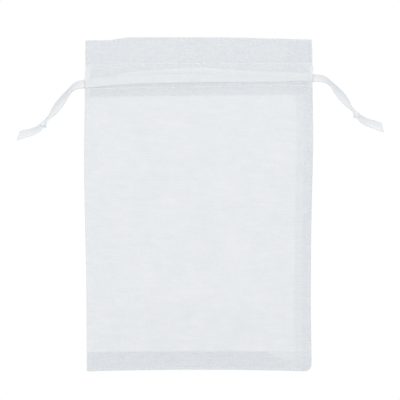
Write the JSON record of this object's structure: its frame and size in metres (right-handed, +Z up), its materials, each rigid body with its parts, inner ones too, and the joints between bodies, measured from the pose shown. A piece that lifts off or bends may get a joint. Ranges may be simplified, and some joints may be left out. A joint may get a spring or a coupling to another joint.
{
  "type": "drawstring gift pouch",
  "caption": "Sheer flat fabric pouch with a deep header, a stitched casing and satin ribbon drawstrings knotted at both sides.",
  "frame": {"origin": "centre of the face that the pouch lies on, midway between its side edges and between its bottom seam and top fold", "axes": "+X towards the sewn side, +Y along the pouch towards its mouth, +Z up from the surface that it lies on"},
  "size_m": [0.2422, 0.22, 0.0088],
  "materials": {
    "organza": "sheer plain weave with a soft sheen",
    "ribbon": "single-face satin",
    "thread": "fine spun polyester"
  },
  "bodies": {
    "pouch": {"back_panel": "organza", "front_panel": "organza", "left_fold": "organza", "right_seam_edge": "organza", "bottom_seam_edge": "organza", "side_allowance_wide": "organza", "side_allowance_narrow": "organza", "bottom_allowance_back": "organza", "bottom_allowance_front": "organza", "side_seam_stitches": "thread", "bottom_seam_stitches": "thread", "front_hem_facing": "organza", "back_hem_facing": "organza", "front_top_fold": "organza", "back_top_fold": "organza", "front_upper_casing_stitches": "thread", "front_lower_casing_stitches": "thread", "back_upper_casing_stitches": "thread", "back_lower_casing_stitches": "thread"},
    "mouth_left": {"left_mouth_fold": "organza"},
    "mouth_right": {"right_mouth_seam": "organza"},
    "left_string": {"left_string_front_run": "ribbon", "left_string_back_run": "ribbon", "left_string_return": "ribbon"},
    "left_free_end": {"left_string_free_front": "ribbon", "left_string_free_back": "ribbon", "left_string_knot": "ribbon", "left_string_tail_front": "ribbon", "left_string_tail_back": "ribbon"},
    "right_string": {"right_string_front_run": "ribbon", "right_string_back_run": "ribbon", "right_string_return": "ribbon"},
    "right_free_end": {"right_string_free_front": "ribbon", "right_string_free_back": "ribbon", "right_string_knot": "ribbon", "right_string_tail_front": "ribbon", "right_string_tail_back": "ribbon"}
  },
  "joints": [
    {"name": "left_pull", "type": "slide", "parent": "pouch", "child": "left_string", "axis": [-1, 0, 0], "range_m": [0, 0.045], "deforming": ["left_string_return"]},
    {"name": "right_pull", "type": "slide", "parent": "pouch", "child": "right_string", "axis": [1, 0, 0], "range_m": [0, 0.045], "deforming": ["right_string_return"]},
    {"name": "right_mouth_gather", "type": "slide", "parent": "pouch", "child": "mouth_right", "axis": [-1, 0, 0], "range_m": [0, 0.045]},
    {"name": "left_mouth_gather", "type": "slide", "parent": "pouch", "child": "mouth_left", "axis": [1, 0, 0], "range_m": [0, 0.045]},
    {"name": "left_free_swing", "type": "hinge", "parent": "left_string", "child": "left_free_end", "pos_m": [-0.0785, 0.079, 0.001], "axis": [0, 0, 1], "range_deg": [-60, 40]},
    {"name": "right_free_swing", "type": "hinge", "parent": "right_string", "child": "right_free_end", "pos_m": [0.0785, 0.0833, 0.001], "axis": [0, 0, 1], "range_deg": [-40, 60]}
  ],
  "couplings": [
    {"joint": "right_mouth_gather", "follows": "left_pull", "ratio": 1},
    {"joint": "left_mouth_gather", "follows": "right_pull", "ratio": 1}
  ]
}
